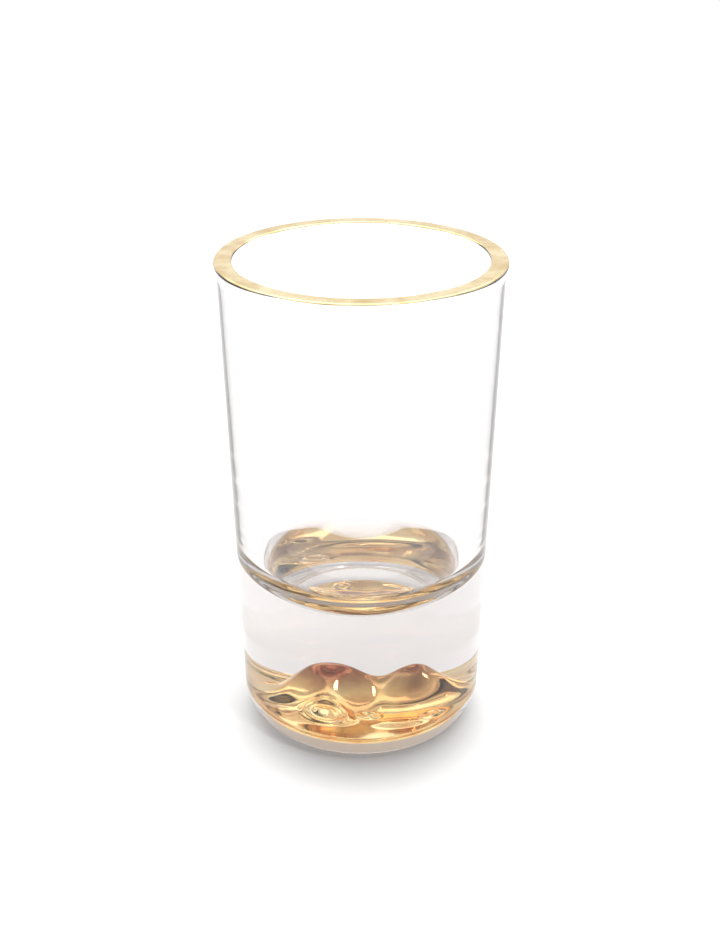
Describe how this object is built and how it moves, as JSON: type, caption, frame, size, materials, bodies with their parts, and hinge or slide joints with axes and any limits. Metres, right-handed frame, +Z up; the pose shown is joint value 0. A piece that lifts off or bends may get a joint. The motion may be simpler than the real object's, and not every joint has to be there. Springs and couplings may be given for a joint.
{
  "type": "shot glass",
  "caption": "Clear shot glass with a thick base, a gilded lip and a gilded relief of hills and craters sunk into its underside.",
  "frame": {"origin": "centre of the foot, on the surface the glass stands on", "axes": "+Z up along the glass's axis; +X to the right and +Y away from the viewer, with the tallest hill of the relief on the -X side"},
  "size_m": [0.045, 0.045, 0.08],
  "materials": {
    "clear_glass": "clear, polished pressed glass",
    "rim_gold": "fired metallic gold, satin",
    "relief_gold": "bright metallic gold coat on pressed glass"
  },
  "bodies": {
    "root": {"glass_body": "clear_glass", "rim_gilding": "rim_gold", "relief_gilding": "relief_gold"}
  },
  "joints": []
}
